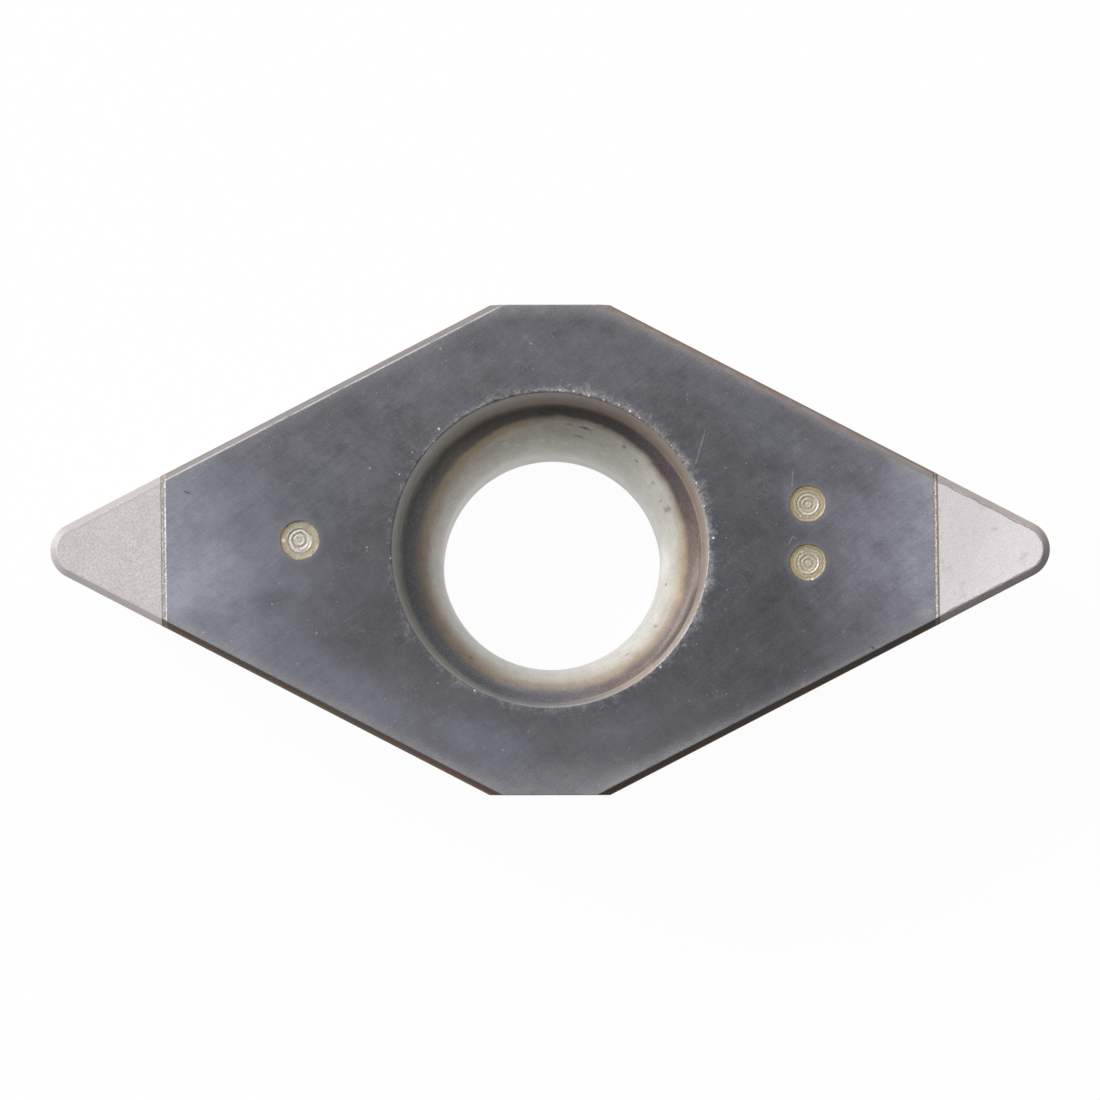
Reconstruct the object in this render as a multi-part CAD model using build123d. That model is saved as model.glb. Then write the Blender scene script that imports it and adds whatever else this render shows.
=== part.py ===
from build123d import *
import math
import os

os.makedirs("parts", exist_ok=True)

# All lengths are in millimetres and all angles in degrees.
# Origin: on the axis of the fixing hole, on the flat seat. +X runs to a pointed corner, +Z up.

# Outline of the insert, read on the top face before the edge land is ground
inscribed_circle = 6.35
corner_angle = 55.0
thickness = 2.38
clearance_angle = 7.0
nose_radius = 0.38

# Narrow land ground along every cutting edge: its width on the slope, and its slope
land_width = 0.10
land_angle = 30.0

# Fixing hole: a nearly straight mouth, a curved seat for the screw head, a plain bore
bore_radius = 1.40
shoulder_radius = 1.94
mouth_radius = 2.036
mouth_depth = 0.45
seat_depth = 1.55
exit_chamfer = 0.08

# Tips in the two pointed corners, and the braze that holds each one behind and below.
# A tip's length runs from the front of the nose to its back face
tip_length = 1.433
tip_thickness = 1.10
braze_thickness = 0.065
joint_skew = 0.75

# The braze is drawn down beside the tip, in a hairline as deep as the land and a little more
hairline_width = 0.022
hairline_extra_depth = 0.01

# Corner marks: shallow ringed dimples, one beside the left corner and two beside the right.
# Each stands at its own distance out from the hole's mouth
single_mark_radius = 0.254
single_mark_run = 1.183
single_mark_y = 0.127
pair_mark_radius = 0.234
pair_mark_run = 1.273
pair_mark_y = 0.21
pair_mark_spacing = 0.76
mark_rim_width = 0.10
mark_rim_depth = 0.012
mark_wall_width = 0.035
mark_cup_depth = 0.030
mark_pip_radius = 0.065

# Sizes that follow from the ones above
half_angle = math.radians(corner_angle / 2)
edge_distance = inscribed_circle / 2
corner_reach = edge_distance / math.sin(half_angle)
blunt_reach = edge_distance / math.cos(half_angle)
nose_reach = corner_reach - nose_radius / math.sin(half_angle) + nose_radius
land_run = land_width * math.cos(math.radians(land_angle))
land_drop = land_width * math.sin(math.radians(land_angle))
tip_back = nose_reach - tip_length
pocket_wall = tip_back - braze_thickness
tip_floor = thickness - tip_thickness
pocket_floor = tip_floor - braze_thickness
hairline_back = tip_back - hairline_width
hairline_floor = thickness - land_drop - hairline_extra_depth
half_turn = Rotation(0, 0, 180)


# Pressed and ground blank: a rhombus with two rounded noses, its flanks drafted inwards by
# the clearance angle from the top face down, so that the noses become cones
outline = Polygon(
    (corner_reach, 0),
    (0, blunt_reach),
    (-corner_reach, 0),
    (0, -blunt_reach),
)
corners = outline.vertices().sort_by(Axis.X)
outline = fillet([corners[0], corners[-1]], nose_radius)
blank = extrude(outline, thickness)
flanks = blank.faces().filter_by(Axis.Z, reverse=True)
blank = draft(flanks, Plane(origin=(0, 0, thickness)), -clearance_angle)

# Edge land, carried without a break along the flanks and round both noses
top_face = blank.faces().sort_by(Axis.Z)[-1]
blank = chamfer(top_face.edges(), land_run, land_drop, reference=top_face)


# Grinds one blunt corner flat as far in as the cutting edges lie, with the same clearance
# as the flanks; the flat cuts straight through the land
def grind_blunt_corner(work, side):
    lean = math.radians(clearance_angle)
    outward = (0, side * math.cos(lean), -math.sin(lean))
    wheel = Plane(origin=(0, side * edge_distance, thickness), z_dir=outward)
    return split(work, bisect_by=wheel, keep=Keep.BOTTOM)


blank = grind_blunt_corner(blank, 1)
blank = grind_blunt_corner(blank, -1)


# Space past a wall at the given distance along +X and above the given floor, turned by the
# small skew the joint is cut at
def corner_space(wall, floor):
    side = 2 * corner_reach
    block = Box(side, side, side, align=(Align.MIN, Align.CENTER, Align.MIN))
    return Rotation(0, 0, joint_skew) * Pos(wall, 0, floor) * block


pocket = corner_space(pocket_wall, pocket_floor)
tip_space = corner_space(tip_back, tip_floor)
hairline = corner_space(hairline_back, hairline_floor)

# Each tip fills its corner out to the ground outline; the braze is what is left of the
# pocket, behind the tip and under it
right_tip = blank & tip_space
right_braze = (blank & pocket) - tip_space - hairline

# Body: the blank less both pockets
body = blank - pocket - half_turn * pocket

# Fixing hole, turned about its axis: exit chamfer, bore, seat curve that leaves the bore
# without a corner, and the mouth
bore_top = thickness - seat_depth
shoulder_height = thickness - mouth_depth
seat_curve = TangentArc(
    (bore_radius, 0, bore_top),
    (shoulder_radius, 0, shoulder_height),
    tangent=(0, 0, 1),
)
hole_line = Polyline(
    (shoulder_radius, 0, shoulder_height),
    (mouth_radius, 0, thickness),
    (0, 0, thickness),
    (0, 0, 0),
    (bore_radius + exit_chamfer, 0, 0),
    (bore_radius, 0, exit_chamfer),
    (bore_radius, 0, bore_top),
)
body = body - revolve(make_face(seat_curve + hole_line), Axis.Z)


# One corner mark: a sloped rim ring, a step down into a cup, and a pip left in the middle
def corner_mark(radius, x, y):
    wall_radius = radius - mark_rim_width
    cup_radius = wall_radius - mark_wall_width
    mark_line = Polyline(
        (0, 0, thickness),
        (radius, 0, thickness),
        (wall_radius, 0, thickness - mark_rim_depth),
        (cup_radius, 0, thickness - mark_cup_depth),
        (mark_pip_radius, 0, thickness - mark_cup_depth),
        (0, 0, thickness - mark_rim_depth),
        (0, 0, thickness),
    )
    return Pos(x, y, 0) * revolve(make_face(mark_line), Axis.Z)


single_x = -(mouth_radius + single_mark_run)
pair_x = mouth_radius + pair_mark_run
upper_y = pair_mark_y + pair_mark_spacing / 2
lower_y = pair_mark_y - pair_mark_spacing / 2
body = body - corner_mark(single_mark_radius, single_x, single_mark_y)
body = body - corner_mark(pair_mark_radius, pair_x, upper_y)
body = body - corner_mark(pair_mark_radius, pair_x, lower_y)

export_step(body, "parts/insert_body.step")
export_step(right_tip, "parts/tip_right.step")
export_step(half_turn * right_tip, "parts/tip_left.step")
export_step(right_braze, "parts/braze_right.step")
export_step(half_turn * right_braze, "parts/braze_left.step")
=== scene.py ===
import bmesh
import bpy
import mathutils
import numpy as np
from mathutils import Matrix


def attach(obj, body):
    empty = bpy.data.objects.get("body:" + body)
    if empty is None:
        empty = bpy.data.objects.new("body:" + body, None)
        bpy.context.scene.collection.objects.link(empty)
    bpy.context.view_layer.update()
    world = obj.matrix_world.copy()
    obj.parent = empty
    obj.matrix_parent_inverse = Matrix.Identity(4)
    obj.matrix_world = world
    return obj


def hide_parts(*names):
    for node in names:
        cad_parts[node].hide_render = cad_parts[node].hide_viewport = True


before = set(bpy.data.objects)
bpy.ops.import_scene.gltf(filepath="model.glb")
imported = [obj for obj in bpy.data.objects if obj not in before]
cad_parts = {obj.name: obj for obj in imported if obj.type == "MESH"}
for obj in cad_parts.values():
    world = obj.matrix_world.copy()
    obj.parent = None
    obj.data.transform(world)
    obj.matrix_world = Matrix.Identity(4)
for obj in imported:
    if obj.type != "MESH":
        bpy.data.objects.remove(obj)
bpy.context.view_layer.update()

# Carbide body: one pressed and sintered block, ground on its top, seat and flanks, with the screw
# hole formed in the pressing. A thin dark coating covers it, and thins out down the hole. Its two
# pointed corners are cut back into pockets for the tips. Sizes here are in millimetres.
circle_radius = 3.175
thickness = 2.38
half_corner = np.radians(27.5)
flank_lean = np.tan(np.radians(7))
nose_radius = 0.38
land_run, land_drop = 0.0866, 0.05
tip_back = 5.0002
joint_gap = 0.065
tip_floor, pocket_floor = 1.28, 1.215
joint_skew = np.radians(0.75)
nose_centre = (circle_radius - nose_radius) / np.sin(half_corner)

rear_right = np.array([np.sin(half_corner), np.cos(half_corner)])
front_right = rear_right * [1, -1]
joint_normal = np.array([np.cos(joint_skew), np.sin(joint_skew)])
flat_normal = np.array([0.0, 1.0])


def soften(corners, radii, steps=4):
    """A profile with its corners rounded. Each corner gives way to the arc that touches both of its
    legs: it starts at radius / tan(half the corner's angle) from the corner, and its points turn
    evenly about a centre on the corner's bisector."""
    corners = np.asarray(corners, float)
    runs = [corners[:1]]
    for before, at, after, radius in zip(corners[:-2], corners[1:-1], corners[2:], radii):
        back = (before - at) / np.linalg.norm(before - at)
        ahead = (after - at) / np.linalg.norm(after - at)
        half = np.arccos(np.clip(back @ ahead, -1, 1)) / 2
        if radius == 0 or half > 1.56:
            runs.append(at[None])
            continue
        centre = at + (back + ahead) / np.linalg.norm(back + ahead) * radius / np.sin(half)
        start = at + back * radius / np.tan(half) - centre
        end = at + ahead * radius / np.tan(half) - centre
        turn = np.pi - 2 * half
        share = np.linspace(0, 1, steps + 1)[:, None]
        arc = np.sin((1 - share) * turn) * start + np.sin(share * turn) * end
        runs.append(centre + arc / np.sin(turn))
    runs.append(corners[-1:])
    return np.concatenate(runs)


def fill_in(profile, longest):
    """A profile with points added along its long legs, so that no step is over the given length."""
    steps = np.ceil(np.linalg.norm(np.diff(profile, axis=0), axis=1) / longest).astype(int)
    legs = [np.linspace(a, b, max(n, 1), endpoint=False)
            for a, b, n in zip(profile[:-1], profile[1:], steps)]
    return np.concatenate(legs + [profile[-1:]])


def meet(first, first_distance, second, second_distance):
    """Where two lines in plan cross. Each has a unit normal and a distance from the axis, and the
    point solves normal . point = distance for both, by Cramer's rule."""
    spread = first[0] * second[1] - first[1] * second[0]
    x = (first_distance * second[1] - second_distance * first[1]) / spread
    y = (first[0] * second_distance - second[0] * first_distance) / spread
    return np.stack(np.broadcast_arrays(x, y), axis=-1)


def stretch(start, end, share):
    """Points from start to end at the given shares of the way, for every course at once."""
    return start[:, None] * (1 - share[:, None]) + end[:, None] * share[:, None]


def nose_path(edge, wall, straight, bend):
    """The way round a nose, from the front edge to the rear one, for every course: along the front
    edge, nose centre + radius * (cos a, sin a) with a from front to rear normal, and back along the
    rear edge. The radius is what the edge's distance leaves over past the nose centre."""
    radius = edge - nose_centre * np.sin(half_corner)
    middle = np.stack([np.full_like(edge, nose_centre), np.zeros_like(edge)], axis=-1)
    share = np.arange(straight) / straight
    angle = np.linspace(-1, 1, bend + 1) * (np.pi / 2 - half_corner)
    ring = np.stack([np.cos(angle), np.sin(angle)], axis=-1)
    arc = middle[:, None] + radius[:, None, None] * ring
    front = stretch(meet(front_right, edge, joint_normal, wall), arc[:, 0], share)
    rear = stretch(arc[:, -1], meet(rear_right, edge, joint_normal, wall), share[1:])
    return np.concatenate([front, arc, rear], axis=1)


def even_turn(edge, start, end, steps):
    """Shares of an edge's length that look evenly spaced from the axis: the tangent of each angle
    from the edge's foot, scaled to run from 0 to 1."""
    foot = rear_right * edge
    along = np.array([-rear_right[1], rear_right[0]])
    first, last = np.arctan(((start - foot) @ along) / edge), np.arctan(((end - foot) @ along) / edge)
    run = np.tan(np.linspace(first, last, steps + 1))
    return (run[:-1] - run[0]) / (run[-1] - run[0])


def body_courses(edge, flat, wall, nosed):
    """Closed courses round the body, one for each edge distance. Half of each runs up the right
    joint or round the right nose, along the rear right edge, the rear flat and the rear left edge,
    and the other half is the same turned by half a turn."""
    joint_start = meet(front_right, edge, joint_normal, wall)
    joint_end = meet(rear_right, edge, joint_normal, wall)
    flat_start = meet(rear_right, edge, flat_normal, flat)
    flat_end = flat_start * [-1, 1]
    nose = nose_path(edge, wall, 10, 24)
    straight = stretch(joint_start, joint_end, np.arange(nose.shape[1]) / nose.shape[1])
    end = np.where(nosed[:, None, None], nose, straight)
    share = even_turn(circle_radius, joint_end[0], flat_start[0], 150)
    mirrored = 1 - np.concatenate([share[1:], [1]])[::-1]
    half = np.concatenate([
        end,
        stretch(joint_end, flat_start, share),
        stretch(flat_start, flat_end, np.arange(60) / 60),
        stretch(flat_end, -joint_start, mirrored),
    ], axis=1)
    return np.concatenate([half, -half], axis=1)


def skin(name, grid, loop):
    """A closed surface from a grid of courses: each cell between two courses is one face, courses
    close on themselves, the last course joins the first where loop is set, and points that fall
    together, as at a pole, are merged."""
    rows, columns = grid.shape[:2]
    row, column = np.meshgrid(np.arange(rows if loop else rows - 1), np.arange(columns), indexing="ij")
    above, beside = (row + 1) % rows, (column + 1) % columns
    cells = np.stack([row * columns + column, above * columns + column,
                      above * columns + beside, row * columns + beside], axis=-1)
    made = bpy.data.meshes.new(name)
    made.from_pydata(grid.reshape(-1, 3) / 1000, [], cells.reshape(-1, 4).tolist())
    work = bmesh.new()
    work.from_mesh(made)
    bmesh.ops.remove_doubles(work, verts=work.verts, dist=2e-7)
    work.to_mesh(made)
    work.free()
    piece = bpy.data.objects.new(name, made)
    bpy.context.scene.collection.objects.link(piece)
    return piece


def smooth(piece):
    """Rounded faces, with a crease wherever two faces meet at over 24 degrees."""
    piece.data.shade_smooth()
    piece.data.set_sharp_from_angle(angle=np.radians(24))


# Outer profile as inset from the cutting edges and height: top face, edge land, flank, seat
seat_inset = thickness * flank_lean
outer = soften([(land_run + 0.03, thickness), (land_run, thickness), (0.0705, thickness - 0.010),
                (0.0544, thickness - 0.020), (land_drop * flank_lean, thickness - land_drop),
                (seat_inset, 0), (seat_inset + 0.05, 0)], [0.02, 0, 0, 0.012, 0.03])
outer = fill_in(outer, 0.35)[:-1]
above_pocket = outer[:, 1] > pocket_floor
level = np.array([[np.interp(pocket_floor, outer[::-1, 1], outer[::-1, 0]), pocket_floor]])
outer = np.concatenate([outer[above_pocket], level, level, outer[~above_pocket]])
nosed = np.arange(len(outer)) > above_pocket.sum()
inset, height = outer.T
# The blunt flats are ground through the land, so their inset has only a small round at the top
flat_round = 0.012
down = np.clip((thickness - height) / flat_round, 0, 1)
flat_inset = np.where(height > 1, (thickness - height) * flank_lean
                      + flat_round * (1 - np.sqrt(1 - (1 - down) ** 2)), inset)
flat_inset[0] = 0.05
wall = np.full_like(inset, tip_back - joint_gap)
wall[0] -= 0.03
outline = body_courses(circle_radius - inset, circle_radius - flat_inset, wall, nosed)
sides = np.dstack([outline, np.broadcast_to(height[:, None], outline.shape[:2])])

# Hole profile as radius and height: seat face, exit chamfer, bore, screw seat, mouth wall, top face
bore_radius, bore_top = 1.40, 0.83
shoulder_radius, shoulder_height = 1.94, 1.93
mouth_radius = 2.036
across, up = shoulder_radius - bore_radius, shoulder_height - bore_top
curve_radius = (across ** 2 + up ** 2) / (2 * across)
sweep = np.linspace(0, np.arcsin(up / curve_radius), 19)
curve = np.stack([bore_radius + curve_radius * (1 - np.cos(sweep)),
                  bore_top + curve_radius * np.sin(sweep)], axis=-1)
wall_share = np.array([[0.86], [0.93], [1.0]])
mouth_wall = curve[-1] * (1 - wall_share) + np.array([mouth_radius, thickness]) * wall_share
hole_corners = np.concatenate([[(1.62, 0), (1.48, 0), (bore_radius, 0.08)], curve, mouth_wall,
                               [(mouth_radius + 0.06, thickness)]])
hole_radii = np.zeros(len(hole_corners) - 2)
hole_radii[[0, 1]] = 0.015, 0.04
hole_radii[[-4, -1]] = 0.035, 0.022
hole = fill_in(soften(hole_corners, hole_radii, 5), 0.16)
turn = np.arctan2(outline[1, :, 1], outline[1, :, 0])
spin = np.stack([np.cos(turn), np.sin(turn)], axis=-1)
bore = np.dstack([hole[:, 0, None, None] * spin,
                  np.broadcast_to(hole[:, 1, None], (len(hole), len(turn)))])

# Chips broken out of the mouth's edge: each is a dent that is deepest on the edge's round, with
# the bell shape exp(-(distance / width)^2) both along the edge and across it
chance = np.random.default_rng(11)
chip_turn = chance.uniform(-np.pi, np.pi, 150)
chip_width = chance.uniform(0.006, 0.022, 150)
chip_depth = chance.uniform(0.002, 0.014, 150) * (0.35 + 0.65 * (np.sin(chip_turn + 0.5) > -0.2))
gap = np.angle(np.exp(1j * (turn[:, None] - chip_turn)))
dents = (chip_depth * np.exp(-(gap * mouth_radius / chip_width) ** 2)).max(axis=1)
edge_run = np.hypot(hole[:, 0] - mouth_radius, hole[:, 1] - thickness)
bite = np.exp(-(edge_run / 0.022) ** 2)[:, None] * dents
bore[..., :2] += (bite[..., None] * spin) * 0.8
bore[..., 2] -= bite * 0.6

# Top face and seat face: straight runs between the hole's courses and the outline's
share = np.array([0.2, 0.4, 0.6, 0.8])[:, None, None]
top_face = bore[-1] * (1 - share) + sides[0] * share
seat_face = sides[-1] * (1 - share) + bore[0] * share
body = skin("carbide_body", np.concatenate([bore, top_face, sides, seat_face]), loop=True)


def dimple(radius, x, y):
    """A cutter for one corner mark: a profile of depth over radius turned about the mark's axis.
    From the rim inwards it has a shallow ring, a ridge, and ripples of depth * cos(radius) that
    close on a small pit."""
    share = np.array([1.0, 0.975, 0.93, 0.66, 0.62, 0.585, 0.55, 0.51, 0.46, 0.41, 0.37, 0.33, 0.29,
                      0.25, 0.21, 0.17, 0.12, 0.06, 0.0])
    depth = np.array([0, 7, 11, 12, 11, 14, 18, 17, 15, 17, 20, 21, 19, 17, 17, 20, 21, 19, 18]) / 1000
    profile = np.concatenate([[(0, 0.05), (radius * 1.006, 0.05)],
                              np.stack([share * radius, -depth], axis=-1)])
    angle = np.linspace(0, 2 * np.pi, 96, endpoint=False)
    ring = np.stack([np.cos(angle), np.sin(angle)], axis=-1)
    place = np.dstack([x + profile[:, 0, None] * ring[:, 0], y + profile[:, 0, None] * ring[:, 1],
                       thickness + np.repeat(profile[:, 1, None], 96, axis=1)])
    return skin("corner_mark", place, loop=False)


marks = [(0.254, -3.219, 0.127), (0.234, 3.309, 0.59), (0.236, 3.309, -0.17)]
for mark in marks:
    cutter = dimple(*mark)
    carve = body.modifiers.new("mark", "BOOLEAN")
    carve.operation, carve.solver, carve.object = "DIFFERENCE", "EXACT", cutter
settled = body.evaluated_get(bpy.context.evaluated_depsgraph_get())
carved = bpy.data.meshes.new_from_object(settled)
for carve in list(body.modifiers):
    bpy.data.objects.remove(carve.object)
    body.modifiers.remove(carve)
body.data = carved
smooth(body)


class Tone:
    """A value on its way through a finish. Sums on it are written as expressions, and each one adds
    its Math node."""

    def __init__(self, finish, socket):
        self.finish, self.socket = finish, socket

    def sum(self, operation, first, second):
        return self.finish.node("Math", {"operation": operation}, {0: first, 1: second})

    def __add__(self, other):
        return self.sum("ADD", self, other)

    def __radd__(self, other):
        return self.sum("ADD", other, self)

    def __sub__(self, other):
        return self.sum("SUBTRACT", self, other)

    def __rsub__(self, other):
        return self.sum("SUBTRACT", other, self)

    def __mul__(self, other):
        return self.sum("MULTIPLY", self, other)

    def __rmul__(self, other):
        return self.sum("MULTIPLY", other, self)

    def __truediv__(self, other):
        return self.sum("DIVIDE", self, other)

    def __pow__(self, other):
        return self.sum("POWER", self, other)

    def __abs__(self):
        return self.sum("ABSOLUTE", self, 0.0)


class Finish:
    """A material being made. node() adds any node and gives back one of its outputs as a Tone."""

    def __init__(self, name):
        self.material = bpy.data.materials.new(name)
        self.material.use_nodes = True
        self.tree = self.material.node_tree
        self.shader = self.tree.nodes["Principled BSDF"]
        place = self.node("TexCoord", {}, {}, 3)
        self.place = self.node("Mapping", {}, {"Vector": place, "Scale": (1000, 1000, 1000)})
        self.x, self.y, self.z = (self.node("SeparateXYZ", {}, {0: self.place}, i) for i in range(3))

    def node(self, kind, settings, sockets, out=0):
        """Adds a node: its settings first, a ramp's stops among them, then its sockets."""
        made = self.tree.nodes.new("ShaderNode" + kind)
        for key, value in settings.items():
            if key == "stops":
                for (at, tone), stop in zip(value, self.stops(made, len(value))):
                    stop.position, stop.color = at, (*tone, 1)
            else:
                setattr(made, key, value)
        for key, value in sockets.items():
            if isinstance(value, Tone):
                self.tree.links.new(value.socket, made.inputs[key])
            else:
                made.inputs[key].default_value = value
        return Tone(self, made.outputs[out])

    def stops(self, made, count):
        """A ramp's elements, as many as asked for."""
        elements = made.color_ramp.elements
        while len(elements) < count:
            elements.new(1)
        return elements

    def ramp(self, value, stops):
        """A colour looked up on a ramp."""
        return self.node("ValToRGB", {"stops": stops}, {0: value})

    def rise(self, value, low, high, full=1.0):
        """0 below low and full above high, with a smooth step between; it falls where low > high."""
        return self.node("MapRange", {"interpolation_type": "SMOOTHSTEP"},
                         {0: value, 1: low, 2: high, 4: full})

    def mix(self, share, first, second, way="MIX"):
        """A share of the second colour over the first."""
        first, second = ((*c, 1) if isinstance(c, tuple) else c for c in (first, second))
        return self.node("Mix", {"data_type": "RGBA", "blend_type": way, "clamp_factor": True},
                         {0: share, 6: first, 7: second}, 2)

    def mix_value(self, share, first, second):
        """A share of the second value over the first."""
        return first * (1 - share) + second * share

    def grey(self, value):
        """A colour with the same value in all three channels."""
        return self.node("CombineColor", {}, {0: value, 1: value, 2: value})

    def noise(self, scale, detail=2.0, rough=0.5, place=None):
        """Cloudy noise between 0 and 1, with the given number of waves per millimetre."""
        return self.node("TexNoise", {}, {"Vector": place or self.place, "Scale": scale,
                                          "Detail": detail, "Roughness": rough})

    def turned(self, angle, scale):
        """The surface coordinates along and across a line at an angle in degrees, in cells of the size."""
        return self.node("Mapping", {"vector_type": "TEXTURE"}, {
            "Vector": self.place, "Rotation": (0, 0, np.radians(angle)), "Scale": scale})

    def fused(self, value, factor, added):
        """value * factor + added, in one node."""
        return self.node("Math", {"operation": "MULTIPLY_ADD"}, {0: value, 1: factor, 2: added})

    def weighed(self, level, *parts):
        """The level plus each part's value times its weight."""
        for value, weight in parts:
            level = self.fused(value, weight, level)
        return level

    def plane(self, to_right, to_rear, level):
        """A tilted plane over the plan: x * to_right + y * to_rear + level."""
        return self.fused(self.y, to_rear, self.fused(self.x, to_right, level))

    def length(self, first, second):
        """The long side over two sides at right angles: the root of first * first + second * second."""
        return self.node("Math", {"operation": "SQRT"}, {0: self.fused(first, first, second * second)})

    def specks(self, scale, size, kept, place=None):
        """Small round specks: 1 within the given size of a random point, in the share of cells kept."""
        near = self.node("TexVoronoi", {}, {"Vector": place or self.place, "Scale": scale,
                                            "Randomness": 1.0})
        pick = self.node("SeparateColor", {}, {0: Tone(self, near.socket.node.outputs["Color"])})
        here = self.node("Math", {"operation": "LESS_THAN"}, {0: pick, 1: kept})
        return self.rise(near, size * scale, size * scale * 0.35) * here

    def set(self, sockets):
        """Sets or links sockets of the shader."""
        for key, value in sockets.items():
            if isinstance(value, Tone):
                self.tree.links.new(value.socket, self.shader.inputs[key])
            else:
                self.shader.inputs[key].default_value = value

    def bump(self, height, depth):
        """Relief from a height between 0 and 1, with the depth of 1 in millimetres."""
        return self.node("Bump", {}, {"Strength": 1.0, "Distance": depth / 1000, "Height": height})


coat = Finish("dark_coating")
from_axis = coat.length(coat.x, coat.y)
from_edge = circle_radius - (abs(coat.x) * float(rear_right[0]) + abs(coat.y) * float(rear_right[1]))
from_flat = circle_radius - abs(coat.y)
on_top = coat.rise(coat.z, thickness - 0.004, thickness - 0.001)
in_hole = coat.rise(from_axis, 2.05, 2.035) * coat.rise(coat.z, 0.001, 0.01)
clouds = coat.noise(0.9, 3.0, 0.55)
mottle = coat.noise(4.0, 4.0, 0.6)
grain = coat.noise(42.0, 3.0, 0.7)
fine = coat.noise(80.0, 1.0, 0.5)

# Ground top face: grey with a violet cast, with painted light that leaves it darkest at the front
# right, and drawn over with fine grinding lines. Towards the joints a painted sheen turns it paler blue.
lay = coat.noise(1.0, 3.0, 0.6, coat.turned(38, (0.9, 0.028, 1)))
lay_across = coat.noise(1.0, 2.0, 0.5, coat.turned(-52, (0.7, 0.035, 1)))
smudge = coat.noise(9.0, 4.0, 0.6)
relief = coat.weighed(-1.57, (clouds, 0.62), (mottle, 0.62), (smudge, 0.40), (grain, 0.80),
                      (fine, 0.20), (lay, 0.34), (lay_across, 0.16))
relief = relief * (1 - coat.rise(coat.y + coat.x * 0.5, -0.4, -1.6, 0.24))
# Painted light: the face is painted lighter towards the back and the front left, darkest at the front right
tone_with_painted_light = (0.103 + coat.rise(coat.y - coat.x * 0.20, -0.6, 3.2, 0.056)
                 + coat.rise(coat.y + coat.x * 0.25, -1.1, -2.9, 0.040))
face = coat.mix(1.0, (1.0, 0.975, 1.10), coat.grey(tone_with_painted_light), "MULTIPLY")
# Painted sheen: a paler blue towards each joint, with a ragged edge from the clouds
sheen_ragged = clouds * 1.4 - 0.7
left_painted_sheen = coat.rise(sheen_ragged - coat.x - coat.y * coat.y * 0.36 - coat.y * 0.28, 2.0, 6.1)
right_painted_sheen = coat.rise(sheen_ragged + coat.x - coat.y * coat.y * 0.32 + coat.y * 0.14, 2.3, 5.8)
face = coat.mix(left_painted_sheen, face, (0.378, 0.388, 0.466))
face = coat.mix(right_painted_sheen, face, (0.330, 0.330, 0.390))
# Paler and darker clouds: ragged ellipses, each with its middle, its half lengths along and across an
# angle in degrees, a share and a tone
ragged = (clouds - 0.5) * 1.1
haze, shade, chalk = (0.20, 0.206, 0.248), (0.088, 0.086, 0.098), (0.38, 0.38, 0.40)
for x, y, along, across, angle, share, tone in [
        (-2.70, -1.82, 1.90, 0.52, -27, 0.95, haze), (-0.90, -2.50, 1.10, 0.45, -18, 0.75, haze),
        (-3.70, -1.00, 0.90, 0.45, -27, 0.30, haze), (-2.90, 0.95, 1.20, 0.75, 27, 0.36, haze),
        (2.90, 1.48, 1.00, 0.50, -27, 0.45, haze), (2.00, 2.20, 1.30, 0.35, -27, 0.30, haze),
        (-2.90, 0.42, 0.60, 0.30, 0, 0.22, haze), (0.90, -2.35, 0.70, 0.35, 27, 0.30, haze),
        (-3.47, -0.65, 0.50, 0.32, 0, 0.42, shade), (-4.50, -0.92, 0.55, 0.38, -27, 0.32, shade),
        (3.06, 0.70, 0.14, 0.36, 0, 0.40, haze),
        (3.90, 0.88, 0.70, 0.28, -27, 0.45, shade), (4.86, -0.83, 0.22, 0.10, 27, 0.60, chalk)]:
    ahead_x, ahead_y = float(np.cos(np.radians(angle))), float(np.sin(np.radians(angle)))
    run_along = coat.plane(ahead_x / along, ahead_y / along, -(x * ahead_x + y * ahead_y) / along)
    run_across = coat.plane(-ahead_y / across, ahead_x / across, (x * ahead_y - y * ahead_x) / across)
    hazy = coat.rise(coat.length(run_along, run_across) + ragged, 1.0, 0.1, share)
    face = coat.mix(hazy, face, tone)
# Worn towards the edges, where the coating is thin and dusty, most of all on a narrow lip inside the
# right lands, and at the two blunt flats
worn = coat.rise(from_edge + (mottle - 0.5) * 0.16 + (smudge - 0.5) * 0.22, 0.36, 0.07)
worn = worn * worn * (0.34 + coat.rise(coat.x + coat.y * 2.2, -1.5, -4.0, 0.30)) * (0.45 + grain * 1.1)
face = coat.mix(worn, face, (0.34, 0.335, 0.35))
lip = coat.rise(from_edge + (smudge - 0.5) * 0.06, 0.165, 0.095) * coat.rise(coat.x, -0.2, 0.6)
face = coat.mix(lip * (0.10 + grain * 0.5), face, (0.32, 0.315, 0.325))
rear_worn = coat.rise(from_flat, 0.24, 0.0) * coat.rise(coat.y, 0, 1)
front_worn = coat.rise(from_flat, 0.55, 0.0) * coat.rise(coat.y, 0, -1)
face = coat.mix((rear_worn + front_worn) * 0.6, face, (0.33, 0.32, 0.34))
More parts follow.
